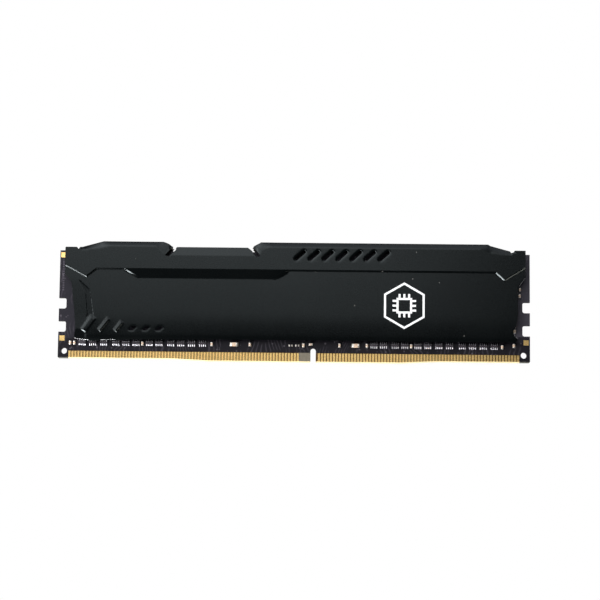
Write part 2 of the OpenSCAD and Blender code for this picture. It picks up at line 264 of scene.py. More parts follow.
# Places that the board's material marks: along the board from its middle, and up from its lowest edge
# Top of the strip under the shell that painted shade darkens
PAINTED_SHADE_STRIP_TOP = 6.2
# Start, along and up, of the strip beside the shell's right end that painted light lightens
PAINTED_LIGHT_STRIP = (62.2, 7.8)
TRACE_PITCH = 1.1
TRACE_BEND = 10
RUNG_PITCH = 0.66
LADDER_ACROSS = (-65.85, -65.35)
LADDER_UP = (19.5, 28.4)
CONTACT_ROW = (-63.6, 63.7)
CONTACT_ROW_TOP = 2.72
BESIDE_KEY = (1.4, 5.8)
# Height below which painted shade darkens the board's cut edges
EDGE_PAINTED_SHADE_TOP = 30.5
GOLD_BEVEL_TOP = 0.9


def mask_tone_with_painted_light(n, x, z):
    """Mask's tone with painted light: painted shade darkens the strip under the shell, and painted light
    lightens the one beside its right end.
    """
    patches = n.noise(160, 4.0)
    plain = n.blend(patches, (0.011, 0.0105, 0.014), (0.019, 0.0175, 0.024))
    # Painted shade for the strip under the shell
    dark = n.blend(patches, (0.006, 0.0055, 0.0075), (0.01, 0.009, 0.0125))
    # Painted light for the strip beside the shell's right end
    light = n.blend(patches, (0.042, 0.04, 0.05), (0.06, 0.056, 0.07))
    mask = n.blend(n.before(z, PAINTED_SHADE_STRIP_TOP), plain, dark)
    return n.blend(n.both(n.past(x, PAINTED_LIGHT_STRIP[0]), n.past(z, PAINTED_LIGHT_STRIP[1])), mask, light)


def wave(n, place, pitch):
    """Sine wave along a direction, whose pitch is given in millimetres."""
    return n.math("SINE", n.math("MULTIPLY", place, 2 * math.pi / (pitch * MM)))


def traces(n, x):
    """Thin raised lines that run up the board in patches and bend with the noise."""
    bend = n.math("MULTIPLY", n.noise(95, 1.0), TRACE_BEND * MM)
    lines = n.remap(wave(n, n.math("ADD", x, bend), TRACE_PITCH), 0.35, 0.75)
    return n.both(lines, n.remap(n.noise(240, 2.0), 0.46, 0.54))


def vias(n):
    """Small round spots, in patches."""
    return n.both(n.math("LESS_THAN", n.cells(760), 0.22), n.math("GREATER_THAN", n.noise(330, 1.0), 0.53))


def ladder(n, x, z):
    """Row of short marks up the board's left edge."""
    rungs = n.math("GREATER_THAN", wave(n, z, RUNG_PITCH), 0.1)
    return n.both(rungs, n.both(n.between(x, LADDER_ACROSS), n.between(z, LADDER_UP)))


def cut_edge(n, z, weave, in_row):
    """Sawn laminate on the board's edges: darkened by painted shade below a height near the top and pale
    above it, with gold along the contacts' bevel.
    """
    pale = n.blend(weave, (0.2, 0.19, 0.13), (0.42, 0.4, 0.29))
    # Painted shade for the edges below that height
    dark = n.blend(weave, (0.05, 0.05, 0.045), (0.1, 0.1, 0.085))
    edge = n.blend(n.past(z, EDGE_PAINTED_SHADE_TOP), dark, pale)
    return n.blend(n.both(n.before(z, GOLD_BEVEL_TOP), in_row), edge, (0.6, 0.5, 0.3))


def solder_mask():
    """Black solder mask with faint traces, vias and strips of painted shade and light; bare laminate round
    the contacts and on the cut edges, both with painted shade.
    """
    n = Nodes("solder_mask")
    x = n.axis("X")
    z = n.axis("Z")
    weave = n.noise(1500, 2.0, 0.5)
    trace = traces(n, x)
    mask = n.blend(n.math("MULTIPLY", trace, 0.5), mask_tone_with_painted_light(n, x, z), (0.05, 0.045, 0.056))
    mask = n.blend(n.math("MULTIPLY", vias(n), 0.55), mask, (0.09, 0.082, 0.096))
    mask = n.blend(n.math("MULTIPLY", ladder(n, x, z), 0.7), mask, (0.09, 0.08, 0.1))
    # The laminate is darkened to brown between the contacts as painted shade, tinged by painted light from
    # the gold, and plain beside the key
    in_row = n.between(x, CONTACT_ROW)
    bare = n.both(n.before(z, CONTACT_ROW_TOP), in_row)
    laminate = n.blend(weave, (0.12, 0.105, 0.082), (0.19, 0.17, 0.135))
    laminate = n.blend(n.between(x, BESIDE_KEY), (0.07, 0.038, 0.012), laminate)
    cut = n.math("LESS_THAN", n.facing("Y"), 0.9)
    n.set(Base_Color=n.blend(cut, n.blend(bare, mask, laminate), cut_edge(n, z, weave, in_row)))
    matt = n.math("MAXIMUM", bare, cut)
    n.set(Roughness=n.remap(matt, 0.0, 1.0, 0.42, 0.6), Specular_IOR_Level=0.1)
    height = n.math("ADD", n.math("MULTIPLY", trace, 0.6), n.math("MULTIPLY", weave, 0.3))
    n.bump(height, 0.35, 0.05)
    return n.material


def metal(name, dark, light, roughness, scale):
    """Plated metal whose tone and gloss vary from place to place."""
    n = Nodes(name)
    tone = n.noise(scale, 3.0)
    fine = n.noise(scale * 12, 2.0)
    n.set(Base_Color=n.blend(tone, dark, light), Metallic=1.0)
    n.set(Roughness=n.spread(fine, roughness - 0.06, roughness + 0.06))
    n.bump(fine, 0.15, 0.02)
    return n.material


def grained(name, dark, light, roughness, scale, specular=0.4):
    """Moulded, fired or printed surface with a fine grain."""
    n = Nodes(name)
    tone = n.noise(scale, 4.0)
    grain = n.noise(scale * 8, 2.0, 0.6)
    n.set(Base_Color=n.blend(tone, dark, light), Specular_IOR_Level=specular)
    n.set(Roughness=n.spread(grain, roughness - 0.06, roughness + 0.06))
    n.bump(grain, 0.2, 0.03)
    return n.material


PAINT = black_paint()
RAW_EDGE = bare_aluminium()
MASK = solder_mask()
GOLD = metal("gold_plating", (0.72, 0.48, 0.17), (0.82, 0.58, 0.24), 0.3, 900)
SOLDER = metal("solder", (0.45, 0.445, 0.48), (0.62, 0.61, 0.65), 0.45, 2500)
# Solder of the two-ended parts' joints: cream-tinted, and lighter than the arrays' solder as painted light
TINNED_WITH_PAINTED_LIGHT = metal("lightened_tinned_ends", (0.62, 0.58, 0.53), (0.84, 0.79, 0.73), 0.42, 2500)
EPOXY = grained("chip_epoxy", (0.016, 0.016, 0.017), (0.026, 0.026, 0.027), 0.55, 500)
RESISTOR = grained("resistor_ceramic", (0.014, 0.012, 0.015), (0.05, 0.042, 0.05), 0.45, 1600, 0.2)
CAPACITOR = grained("capacitor_ceramic", (0.5, 0.35, 0.24), (0.68, 0.52, 0.4), 0.4, 1300)
TAPE = grained("thermal_tape", (0.42, 0.44, 0.48), (0.52, 0.54, 0.58), 0.7, 700)
PAD = grained("thermal_pad", (0.3, 0.34, 0.42), (0.38, 0.42, 0.5), 0.75, 500)
INK = grained("white_ink", (0.8, 0.81, 0.82), (0.92, 0.93, 0.93), 0.5, 2200)

NODE_MATERIALS = {
    "circuit_board": MASK, "front_contacts_long": GOLD, "front_contacts_short": GOLD,
    "rear_contacts_long": GOLD, "rear_contacts_short": GOLD, "corner_test_pads": GOLD,
    "solder_balls": SOLDER, "configuration_chip": EPOXY, "configuration_chip_leads": SOLDER,
    "decoupling_capacitor_bodies": CAPACITOR, "decoupling_capacitor_terminals": SOLDER,
    "front_thermal_tape": TAPE, "rear_thermal_pad": PAD, "printed_emblem": INK,
}


def dress_cad_nodes():
    """Gives their materials to the CAD nodes that keep their own shapes."""
    for name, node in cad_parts.items():
        material = EPOXY if name.startswith("memory_chip") else NODE_MATERIALS.get(name)
        if material is not None:
            for holder in node.material_slots:
                holder.material = material


def mesh_object(mesh, name, *materials):
    """Object made from a mesh that was built in millimetres."""
    bmesh.ops.scale(mesh, vec=(MM, MM, MM), verts=mesh.verts)
    data = bpy.data.meshes.new(name)
    mesh.to_mesh(data)
    mesh.free()
    for material in materials:
        data.materials.append(material)
    made = bpy.data.objects.new(name, data)
    bpy.context.scene.collection.objects.link(made)
    return made


# ---------------------------------------------------------------- heat spreader shells
# Heights of the tabs at both ends and of the dip between the humps
TAB = TOP - 1.9
MIDDLE = TOP - 1.55
# Outline of a shell, anticlockwise from its lower left corner
OUTLINE = [
    (4.65, 6.1), (8.2, 5.65), (9.6, 5.35), (11.4, 5.35), (12.2, 5.65), (24, 5.9), (50, 6.1), (128.8, 6.1),
    (129.5, 6.5), (129.65, 7.1), (128.55, 8.5), (128.5, 9.6), (129.2, 10.6), (129.5, 11.8), (129.8, 14),
    (129.75, 18), (129.7, 20.5), (130, 21.8), (131.85, 24.3),
    (131.85, TAB + 0.1), (128.8, TAB + 0.1), (128.4, TAB - 0.45), (127.9, TAB - 0.45), (127.6, TAB),
    (122, TOP - 0.4), (121.4, TOP), (57.2, TOP), (56.6, TOP - 0.35), (55.3, TOP - 1.05), (54.95, TOP - 1.45),
    (55.15, MIDDLE - 1.35), (53.5, MIDDLE), (33.5, MIDDLE), (32.7, MIDDLE - 0.6), (32.4, TOP - 1.6),
    (31.8, TOP - 1.25), (31.2, TOP - 0.75), (30.4, TOP - 0.4), (29.5, TOP - 0.1), (12.6, TOP - 0.1),
    (6.05, TAB), (5.6, TAB - 0.6), (5.1, TAB), (2, TAB), (1.85, TAB - 0.2),
    (1.85, 24.3), (3.75, 21.8), (3.95, 20), (4.25, 17.3), (4.65, 14.5), (5.15, 8.8),
]
# Where the humps' tops fold back, and the ends beyond which the tabs stay flat
HUMPS = ((7.2, 31.9), (55.5, 126.6))
TAB_LEFT = 5.8
TAB_RIGHT = 128.0
# Flat front face of the raised band: its lower step line, then the line where its top edge bends back
STEP_LINE = [(-4, 30.2), (7.95, 23.85), (10.7, 26), (123.7, 26), (126, 23.9), (137, 30.6)]
DIP_BEND = 29.8
TOP_BEND = [
    (128.3, 40), (127.9, 30.6), (122, 31.1), (119.3, 32.2), (60.1, 32.3), (57.6, 31.5), (57, DIP_BEND),
    (30.2, DIP_BEND), (27.6, 32.2), (14.3, 32.2), (11.8, 31.5), (6.5, 31), (5.6, 40),
]
BAND_FACE = STEP_LINE + [(137, 40)] + TOP_BEND + [(-4, 40)]
# How far the top edge bends back, and how round the bend is
BEND_DEPTH = 0.98
BEND_POWER = 1.2
TINY = 1e-6
# The sheet bends back further in the dip between the humps: where, how far, and over what height
DIP = (31.5, 56)
DIP_CREASE = (33.2, 56)
DIP_DEPTH = 1.0
DIP_HEIGHT = 2.45
# Left flange: how far it falls away between two heights, the bend at its foot, and the corner beside that
FLANGE_FALL = 0.13
FLANGE_TOP = 22.5
FLANGE_BOTTOM = 12.0
FLANGE_BEND = 8.6
FLANGE_BEND_SLOPE = 0.3
CORNER_SLOPE = 0.2
CORNER_HEIGHT = 1.5
CORNER_END = 8.6
CORNER_FADE = 1.2
# Bevel from the left flange up to the panel, both lines top first: a groove with a wall, a ramp and a lip
BEVEL_INNER = [(5.95, 22.7), (9.1, 19.8), (10.5, 11.3), (8.1, 7.9), (4.9, 7.6), (4.5, 5)]
BEVEL_OUTER = [(5.75, 22.7), (7.9, 18.8), (8.5, 12.7), (7.1, 9.1), (4.6, 8.4), (4.2, 5)]
BEVEL_LIP = 0.22
BEVEL_RAMP_LEAST = 0.05
BEVEL_RAMP_SHARE = 0.35
GROOVE_DEPTH = 0.11
GROOVE_WALL = 0.16
GROOVE_AT_LIP = 0.75
GROOVE_FADE = 0.5
# Long slope under the left half of the band: its ends at its top and at its bottom
SLOPE_TOP = 26.0
SLOPE_BOTTOM = 23.3
SLOPE_LEFT = (18.3, 21.9)
SLOPE_RIGHT = (65.4, 61.6)
SLOPE_RIGHT_POWER = 1.6
SLOPE_FADES = (0.9, 1.3)
# Crest line of each rib, top first, where its left foot, left edge and right foot lie from that line,
# and how far it stands in front of the panel
RIBS = [
    ((10.5, 11.4), (8.1, 7.9), 1.85, 1.0, 0.3, 0.22),
    ((14.35, 11.2), (12.15, 8.3), 0.95, 0.15, 0.5, 0.5),
    ((18.15, 10.3), (16.6, 8.25), 0.95, 0.15, 0.5, 0.5),
]
RIB_FOOT = 0.3
RIB_HEAD = 0.6
# Slots cut at both ends of the dip
LEFT_SLOT = [(30, 29.75), (31.2, 29.4), (33.1, 31.4), (33.1, 33.2), (32, 32.1)]
RIGHT_SLOT = [(56.05, 29.4), (57.15, 29.85), (55.55, 31.75), (55, 32.2), (54.7, 31.4), (55, 30.55)]
# Share of the band's rise that is left at each distance below the step line
STEP_DISTANCES = (0.0, 0.2, 0.45, 0.5)
STEP_SHARES = (1.0, 0.42, 0.02, 0.0)
STEP_WIDTH = STEP_DISTANCES[-1]
# Lower margin, which rolls back towards the board: gently from one height, faster from a lower one
ROLL_START = 13.0
ROLL_RATE = 0.007
MARGIN_START = 7.3
MARGIN_RATE = 0.1
# Where the sheet's edge has lost its paint: (left, right), (bottom, top)
UNPAINTED = [
    ((4.8, 8.8), (0, 6.2)), ((12.2, 16.2), (0, 6.2)),
    ((128.3, BOARD_LENGTH), (6.9, 8.7)), ((129.85, BOARD_LENGTH), (21.6, 24.4)),
]
WORN_WIDTH = 0.07
WORN_DROP = 0.03
WORN_FACE_SHARE = 0.9
PAINTED_SLOT = 0
BARE_SLOT = 1
# Runs of the outline's corners beside which the mesh has a crease, at the worn strip's inner side
WORN_RUNS = ((0, 6), (7, 12), (16, 20))
# Louvres and pressed holes: corners of the first one, its corner radius, the pitch and the count
LOUVRE = [(67.3, 29.1), (69.5, 31.1)]
LOUVRE_R = 0.45
LOUVRE_PITCH = 3.95
LOUVRES = 7
PRESSED_HOLE = [(20.45, 8.65), (21.35, 8.65), (22.05, 9.35), (21.15, 9.35)]
PRESSED_HOLE_R = 0.25
PRESSED_HOLE_PITCH = 3.8
PRESSED_HOLES = 3
LIP_REACH = 0.36
LIP_POWER = 1.2
LOUVRE_LIP_DROP = 0.27
PRESSED_LIP_DROP = 0.08
# A hump's top edge lies above the tabs by more than this, and runs along the board by more than this
HUMP_EDGE_RISE = 0.25
HUMP_EDGE_RUN = 0.02
# Depths behind the flange at which a hump's folded top has a bend, on its way to the middle plane
FOLD_STOPS = (0.3, 1.2)
# Bends of more than this angle, within this reach of the step line, are shaded as creases
SHARP_BEND = 0.15
SHARP_REACH = 0.55
# Fineness of the shell's mesh: pitches of points, steps along lines, and room that points keep from them
FINE = 0.16
MEDIUM = 0.3
COARSE = 1.6
LEAST_BEND = 0.006
FINE_CORNER = ((4.0, 6.0), (19.6, 23.0))
GRID_START = (1.5, 5.5)
MEDIUM_START = (1.0, 5.0)
EDGE_STEP = 0.6
CREASE_STEP = 0.3
CREASE_CLEAR = 0.1
GRID_CLEAR = 0.08
GRID_MARGIN = 0.12
WELD = 1e-5
# Where creases run beside the lines above
STEP_CREASES = (-0.1, 0.0, 0.1, 0.2, 0.32, 0.45, 0.5, 0.6)
BEVEL_COMPANION = 0.12
BEND_COMPANION = 0.15
SLOPE_CREASE_INSET = 1
ROUND_STEPS = 5


def smooth(t):
    t = np.clip(t, 0.0, 1.0)
    return t * t * (3 - 2 * t)


def line_distance(points, line, closed=False):
    """Distance of each point to a run of straight segments."""
    line = np.array(line, float)
    starts = line if closed else line[:-1]
    ends = np.roll(line, -1, axis=0) if closed else line[1:]
    best = np.full(len(points), np.inf)
    for a, b in zip(starts, ends):
        along = b - a
        t = np.clip(((points - a) @ along) / (along @ along), 0, 1)
        best = np.minimum(best, np.linalg.norm(points - a - t[:, None] * along, axis=1))
    return best


def inside(points, polygon):
    """Whether each point lies inside a polygon."""
    result = np.zeros(len(points), bool)
    x, z = points[:, 0], points[:, 1]
    for (ax, az), (bx, bz) in zip(polygon, polygon[1:] + polygon[:1]):
        if az == bz:
            continue
        crosses = (az > z) != (bz > z)
        result ^= crosses & (x < ax + (z - az) * (bx - ax) / (bz - az))
    return result


def signed(points, polygon):
    """Distance to a polygon's edge, positive inside it."""
    distance = line_distance(points, polygon, closed=True)
    return np.where(inside(points, polygon), distance, -distance)


def rounded_hull(corners, radius):
    """Convex outline with round corners, anticlockwise."""
    ring = []
    count = len(corners)
    centre = np.mean(corners, axis=0)
    corners = sorted(corners, key=lambda c: math.atan2(c[1] - centre[1], c[0] - centre[0]))
    for i, here in enumerate(corners):
        before = np.subtract(here, corners[i - 1])
        after = np.subtract(corners[(i + 1) % count], here)
        start = math.atan2(before[1], before[0]) - math.pi / 2
        turn = (math.atan2(after[1], after[0]) - math.pi / 2 - start) % (2 * math.pi)
        for k in range(ROUND_STEPS + 1):
            angle = start + turn * k / ROUND_STEPS
            ring.append((here[0] + radius * math.cos(angle), here[1] + radius * math.sin(angle)))
    return ring


def hole_row(corners, radius, pitch, count):
    """Outlines of equal holes in a row, from the corners of the first."""
    return [rounded_hull([(x + i * pitch, z) for x, z in corners], radius) for i in range(count)]


def louvres():
    return hole_row(LOUVRE, LOUVRE_R, LOUVRE_PITCH, LOUVRES)


def pressed_holes():
    return hole_row(PRESSED_HOLE, PRESSED_HOLE_R, PRESSED_HOLE_PITCH, PRESSED_HOLES)


def rib_share(points, top, bottom, left_foot, left_edge, right_foot):
    """Slanted rib: 1 on its flat top, falling to 0 over its sloped left face, steep right side and ends."""
    top, bottom = np.array(top), np.array(bottom)
    length = np.linalg.norm(top - bottom)
    along = (top - bottom) / length
    across = np.array([along[1], -along[0]])
    s = (points - bottom) @ along
    d = (points - bottom) @ across
    sides = np.minimum((d + left_foot) / (left_foot - left_edge), (right_foot - d) / right_foot)
    ends = np.minimum((s + RIB_FOOT) / RIB_FOOT, (length + RIB_HEAD - s) / RIB_HEAD)
    return np.clip(np.minimum(sides, ends), 0, 1)


def line_x(z, line):
    """Position along the board of a falling line at each height."""
    return np.interp(-z, [-p[1] for p in line], [p[0] for p in line])


def is_unpainted(x, z):
    """Whether the paint is missing from the sheet's edge at a place."""
    return sum(
        (x > left) & (x < right) & (z > bottom) & (z < top)
        for (left, right), (bottom, top) in UNPAINTED
    ) > 0


def flange_level(z):
    """Left flange, which meets the panel's level at its top and falls away from it downwards."""
    return PANEL_LEVEL - FLANGE_FALL * np.clip((FLANGE_TOP - z) / (FLANGE_TOP - FLANGE_BOTTOM), 0, 1)


def bevel_shares(x, z):
    """Share of the way from the flange to the panel at each point, and the depth of the groove there."""
    outer = line_x(z, BEVEL_OUTER)
    inner = np.maximum(line_x(z, BEVEL_INNER), outer + BEVEL_LIP + BEVEL_RAMP_LEAST)
    lip = inner - BEVEL_LIP
    up_ramp = (x - outer) / (lip - outer)
    up_lip = (x - lip) / BEVEL_LIP
    share = np.where(x < lip, BEVEL_RAMP_SHARE * up_ramp, BEVEL_RAMP_SHARE + (1 - BEVEL_RAMP_SHARE) * up_lip)
    groove = np.minimum((x - outer + GROOVE_WALL) / GROOVE_WALL, 1 - (1 - GROOVE_AT_LIP) * up_ramp)
    groove = np.clip(np.minimum(groove, GROOVE_AT_LIP * (inner - x) / BEVEL_LIP), 0, 1)
    fade = np.clip((FLANGE_TOP - z) / GROOVE_FADE, 0, 1) * (z > FLANGE_BOTTOM)
    return np.clip(share, 0, 1), GROOVE_DEPTH * groove * fade


def roll_back(x, z, share):
    """How far the lower margin rolls back: the flange in a straight bend, the panel in a curve."""
    flange = FLANGE_BEND_SLOPE * np.maximum(FLANGE_BEND - z, 0)
    gentle = ROLL_RATE * np.maximum(ROLL_START - z, 0) ** 2
    fast = MARGIN_RATE * np.maximum(MARGIN_START - z, 0) ** 2
    in_corner = smooth((CORNER_END - x) / CORNER_FADE)
    corner = CORNER_SLOPE * np.clip(FLANGE_BEND - z, 0, CORNER_HEIGHT) * in_corner
    return flange + (gentle + fast + corner - flange) * share


def with_slope(panel, x, z):
    """Adds the long slope under the left half of the band."""
    t = (SLOPE_TOP - z) / (SLOPE_TOP - SLOPE_BOTTOM)
    left = SLOPE_LEFT[0] + (SLOPE_LEFT[1] - SLOPE_LEFT[0]) * smooth(t)
    right = SLOPE_RIGHT[0] + (SLOPE_RIGHT[1] - SLOPE_RIGHT[0]) * np.clip(t, 0, 1) ** SLOPE_RIGHT_POWER
    ends = np.clip(np.minimum((x - left) / SLOPE_FADES[0], (right - x) / SLOPE_FADES[1]), 0, 1)
    slope = PANEL_LEVEL + BAND_RISE * np.clip(1 - t, 0, 1) * smooth(ends)
    return np.where((t > 0) & (t < 1) & (ends > 0), np.maximum(panel, slope), panel)


def bent_top(x, z, outline, face):
    """Top edge, which bends back from the band's face to the outline, given the distances to both."""
    t = outline / np.maximum(outline + face, TINY)
    bent = BAND_LEVEL - BEND_DEPTH * (1 - t) ** BEND_POWER
    in_dip = (x > DIP[0]) & (x < DIP[1]) & (z > DIP_BEND)
    return np.where(in_dip, BAND_LEVEL - DIP_DEPTH * np.clip((z - DIP_BEND) / DIP_HEIGHT, 0, 1), bent)


def with_band(surface, points, outline):
    """Adds the raised band: a steep wall with a narrow fillet at its foot, the flat face, the bent top."""
    x, z = points[:, 0], points[:, 1]
    under_band = z < np.interp(x, *np.transpose(STEP_LINE))
    below = line_distance(points, STEP_LINE)
    wall = PANEL_LEVEL + BAND_RISE * np.interp(below, STEP_DISTANCES, STEP_SHARES)
    surface = np.where(under_band & (below < STEP_WIDTH), np.maximum(surface, wall), surface)
    face = signed(points, BAND_FACE)
    flat = (face >= 0) | (x < TAB_LEFT) | (x > TAB_RIGHT)
    top = np.where(flat, BAND_LEVEL, bent_top(x, z, outline, np.maximum(-face, 0.0)))
    return np.where(under_band, surface, top)


def lip_drop(points):
    """How far the sheet rolls back round the louvres and the pressed holes."""
    drop = 0
    for rings, depth in ((louvres(), LOUVRE_LIP_DROP), (pressed_holes(), PRESSED_LIP_DROP)):
        for ring in rings:
            d = np.clip(line_distance(points, ring, closed=True) / LIP_REACH, 0, 1)
            drop = drop + depth * (1 - d) ** LIP_POWER
    return drop


def elevation(points):
    """How far the shell's front surface stands in front of the depth that the CAD gives its left flange."""
    x, z = points[:, 0], points[:, 1]
    flange = flange_level(z)
    share, groove = bevel_shares(x, z)
    surface = flange + (PANEL_LEVEL - flange) * share - groove
    for *lines, rise in RIBS:
        surface = surface + np.maximum(PANEL_LEVEL + rise - surface, 0) * rib_share(points, *lines)
    surface = with_slope(surface - roll_back(x, z, share), x, z)
    outline = np.maximum(signed(points, OUTLINE), 0.0)
    surface = with_band(surface, points, outline)
    worn = np.clip(1 - outline / WORN_WIDTH, 0, 1) * is_unpainted(x, z)
    return surface - WORN_DROP * worn - lip_drop(points)


def offset_line(line, distance):
    """Line moved to its right-hand side, with mitred corners."""
    line = np.array(line, float)
    steps = np.diff(line, axis=0)
    steps /= np.linalg.norm(steps, axis=1)[:, None]
    normals = np.stack([steps[:, 1], -steps[:, 0]], axis=1)
    moved = [line[0] + normals[0] * distance]
    for i in range(1, len(line) - 1):
        both = normals[i - 1] + normals[i]
        moved.append(line[i] + both * distance * 2 / (both @ both))
    moved.append(line[-1] + normals[-1] * distance)
    return moved


def creases():
    """Lines along which the sheet bends sharply, with close companions that keep the bends tight."""
    beside = BEVEL_COMPANION
    lines = [offset_line(STEP_LINE, d) for d in STEP_CREASES]
    lines += [TOP_BEND, offset_line(TOP_BEND, BEND_COMPANION)]
    lines += [offset_line(BEVEL_INNER, d) for d in (-beside, 0.0, BEVEL_LIP, BEVEL_LIP + beside)]
    lines += [offset_line(BEVEL_OUTER, d) for d in (-beside, 0.0, GROOVE_WALL, GROOVE_WALL + beside)]
    slope_ends = (SLOPE_LEFT[1] + SLOPE_CREASE_INSET, SLOPE_RIGHT[1] - SLOPE_CREASE_INSET)
    for ends, height in ((slope_ends, SLOPE_BOTTOM), (DIP_CREASE, DIP_BEND)):
        lines += [[(x, z) for x in ends] for z in (height, height - BEND_COMPANION)]
    lines += [offset_line(OUTLINE[first:last], -WORN_WIDTH) for first, last in WORN_RUNS]
    return lines


def cut_up(line, step, closed=False):
    """Points along a run of segments, at least a step apart unless a segment is shorter."""
    points = []
    ends = list(line[1:]) + ([line[0]] if closed else [])
    for (ax, az), (bx, bz) in zip(line, ends):
        parts = max(1, int(math.hypot(bx - ax, bz - az) / step))
        points += [(ax + (bx - ax) * k / parts, az + (bz - az) * k / parts) for k in range(parts)]
    if not closed:
        points.append(tuple(line[-1]))
    return points


def square_grid(low, high, pitch):
    """Grid points in a rectangle, and how many there are each way."""
    xs = np.arange(low[0], high[0], pitch)
    zs = np.arange(low[1], high[1], pitch)
    return np.stack(np.meshgrid(xs, zs, indexing="ij"), axis=-1).reshape(-1, 2), (len(xs), len(zs))


def bending_points(low, high, pitch):
    """Grid points in a rectangle, kept only where the surface bends."""
    points, counts = square_grid(low, high, pitch)
    height = elevation(points).reshape(counts)
    bend = np.zeros_like(height)
    for shift in (1, 2):
        for axis in (0, 1):
            change = np.abs(np.roll(height, shift, axis) + np.roll(height, -shift, axis) - 2 * height)
            bend = np.maximum(bend, change)
    return points[(bend > LEAST_BEND).reshape(-1)]


def grid_points(lines):
    """Points inside the outline: close together where the surface bends, far apart where it is flat."""
    corner_low, corner_high = FINE_CORNER
    spread = square_grid(GRID_START, (BOARD_LENGTH, TOP), COARSE)[0]
    fine = bending_points(corner_low, corner_high, FINE)
    medium = bending_points(MEDIUM_START, (BOARD_LENGTH, TOP), MEDIUM)
    x, z = medium[:, 0], medium[:, 1]
    outside = (x > corner_high[0]) | (z > corner_high[1]) | (z < corner_low[1])
    points = np.concatenate([spread, fine, medium[outside]])
    points = points[signed(points, OUTLINE) > GRID_MARGIN]
    clear = np.min([line_distance(points, line) for line in lines], axis=0)
    return points[clear > GRID_CLEAR]


def shell_sheet():
    """Flat triangles of the shell's drawing: vertices and faces in the plane of the board."""
    holes = louvres() + pressed_holes() + [LEFT_SLOT, RIGHT_SLOT]
    points = []
    edges = []
    for loop in [OUTLINE] + holes:
        fine = cut_up(loop, EDGE_STEP, closed=True)
        start = len(points)
        points += fine
        edges += [(start + k, start + (k + 1) % len(fine)) for k in range(len(fine))]
    kept_lines = [loop + loop[:1] for loop in holes]
    for line in creases():
        fine = cut_up(line, CREASE_STEP)
        whole = np.array(fine)
        clear = signed(whole, OUTLINE) > CREASE_CLEAR
        for hole in holes:
            clear &= line_distance(whole, hole, closed=True) > CREASE_CLEAR
        start = len(points)
        points += fine
        edges += [(start + k, start + k + 1) for k in range(len(fine) - 1) if clear[k] and clear[k + 1]]
        kept_lines.append(line)
    points += [tuple(p) for p in grid_points(kept_lines)]
    drawn = geometry.delaunay_2d_cdt([Vector(p) for p in points], edges, [], 0, WELD)
    vertices = np.array([tuple(v) for v in drawn[0]])
    faces = np.array([tuple(f) for f in drawn[2]])
    middles = vertices[faces].mean(axis=1)
    keep = inside(middles, OUTLINE)
    for hole in holes:
        keep &= ~inside(middles, hole)
    return vertices, faces[keep]


def is_hump_edge(a, b):
    """Whether a boundary edge lies along the top of a hump, where the sheet folds back."""
    middle_x = (a[0] + b[0]) / 2
    on_top = min(a[1], b[1]) > TAB + HUMP_EDGE_RISE
    over_hump = any(low < middle_x < high for low, high in HUMPS)
    return on_top and over_hump and abs(b[0] - a[0]) > HUMP_EDGE_RUN


def sheet_mesh():
    """Front surface of the shell as a mesh, still without thickness."""
    vertices, faces = shell_sheet()
    depth = FLANGE_Y - elevation(vertices)
    mesh = bmesh.new()
    front = [mesh.verts.new((x - BOARD_MIDDLE, y, z)) for (x, z), y in zip(vertices, depth)]
    for a, b, c in faces:
        turn = np.cross(vertices[b] - vertices[a], vertices[c] - vertices[a])
        mesh.faces.new([front[a], front[b], front[c]] if turn > 0 else [front[a], front[c], front[b]])
    for vertex in [v for v in mesh.verts if not v.link_faces]:
        mesh.verts.remove(vertex)
    return mesh


def fold_flanges(mesh):
    """Folds the top of each hump back to the middle plane."""
    top = [
        e for e in mesh.edges
        if e.is_boundary and is_hump_edge(*[(v.co.x + BOARD_MIDDLE, v.co.z) for v in e.verts])
    ]
    for stop in FOLD_STOPS + (None,):
        grown = bmesh.ops.extrude_edge_only(mesh, edges=top)["geom"]
        fresh = [v for v in grown if isinstance(v, bmesh.types.BMVert)]
        for vertex in fresh:
            vertex.co.y = -MEETING_GAP if stop is None else max(vertex.co.y, FLANGE_Y + stop)
        new_edges = [e for e in grown if isinstance(e, bmesh.types.BMEdge)]
        top = [e for e in new_edges if e.is_boundary and all(v in fresh for v in e.verts)]


def worn_faces(faces):
    """Whether each face lies in the strip at the outline that has lost its paint."""
    middles = np.array([tuple(f.calc_center_median()) for f in faces])[:, (0, 2)] + (BOARD_MIDDLE, 0)
    at_edge = np.abs(signed(middles, OUTLINE)) < WORN_WIDTH * WORN_FACE_SHARE
    return at_edge & is_unpainted(middles[:, 0], middles[:, 1])


def sharpen_step(mesh):
    """Marks sharp bends beside the band's step as creases in the shading."""
    for edge in mesh.edges:
        if len(edge.link_faces) == 2 and edge.calc_face_angle() > SHARP_BEND:
            ends = np.array([(v.co.x + BOARD_MIDDLE, v.co.z) for v in edge.verts])
            edge.smooth = bool((line_distance(ends, STEP_LINE) > SHARP_REACH).any())


